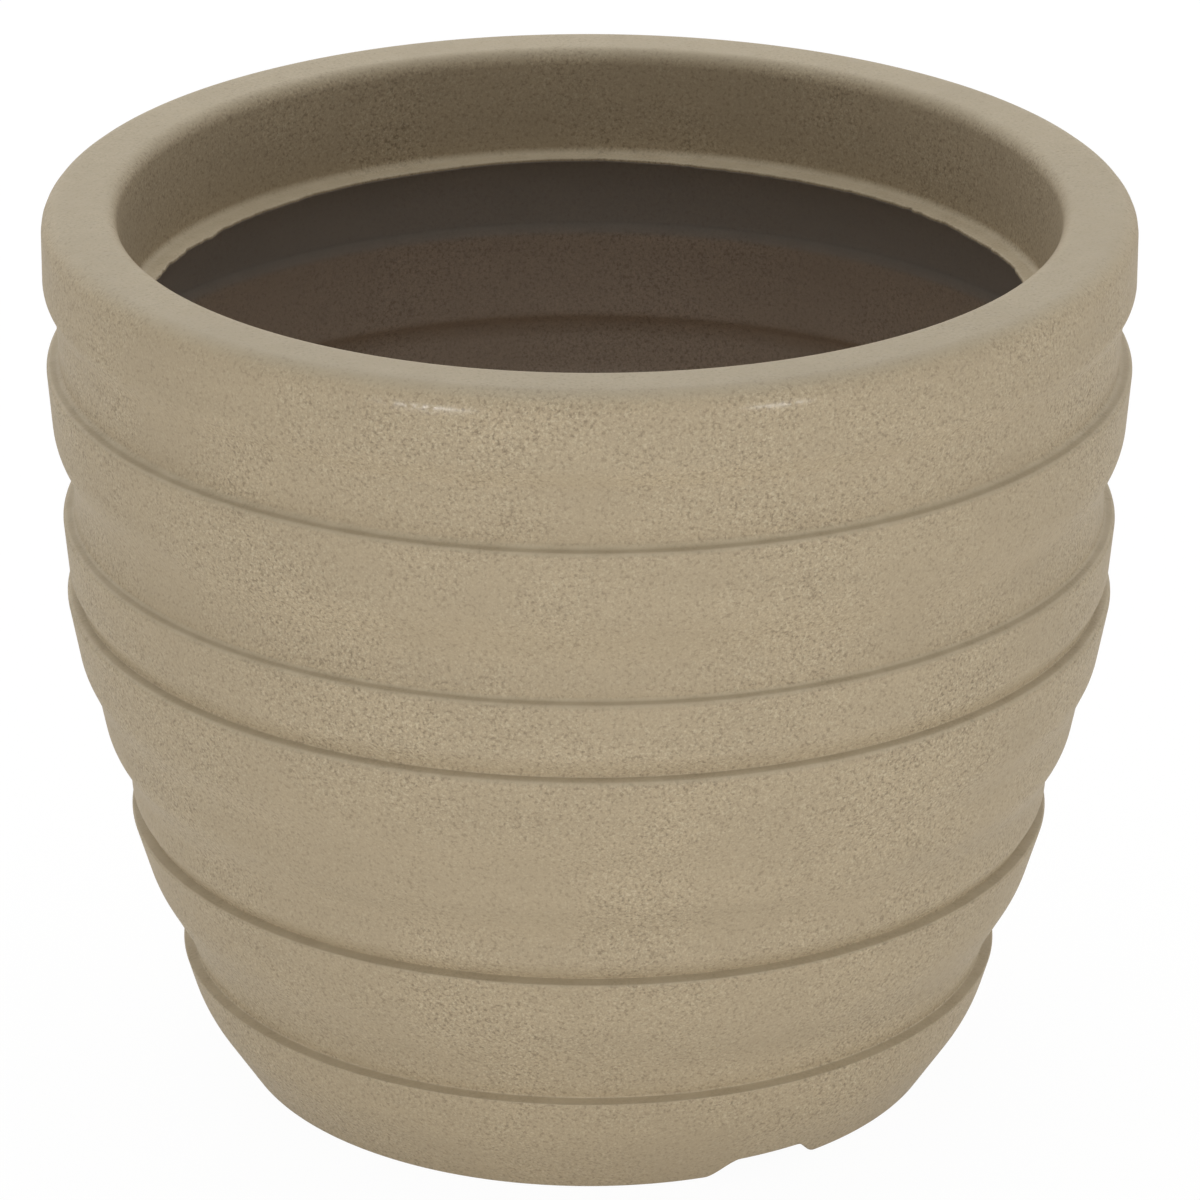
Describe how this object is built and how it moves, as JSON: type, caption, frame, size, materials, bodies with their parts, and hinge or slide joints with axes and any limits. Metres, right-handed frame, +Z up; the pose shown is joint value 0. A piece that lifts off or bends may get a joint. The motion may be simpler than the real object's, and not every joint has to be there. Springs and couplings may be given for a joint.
{
  "type": "flower pot",
  "caption": "Round plastic flower pot with a thick hollow rim, a wall lapped in bands, a ledge inside the mouth, a notched foot ring and a drain bung in its floor.",
  "frame": {"origin": "on the ground, under the middle of the foot ring", "axes": "+Z up along the pot's axis; the two drain notches in the foot lie on the Y axis"},
  "size_m": [0.4007, 0.4008, 0.337],
  "materials": {
    "pot_plastic": "satin beige stone-effect moulding with fine dark and pale specks",
    "bung_rubber": "matt black moulded rubber"
  },
  "bodies": {
    "pot": {"pot_shell": "pot_plastic"},
    "bung": {"drain_bung": "bung_rubber"}
  },
  "joints": [
    {"name": "bung_lift", "type": "slide", "parent": "pot", "child": "bung", "axis": [0, 0, 1], "range_m": [0, 0.36]}
  ]
}
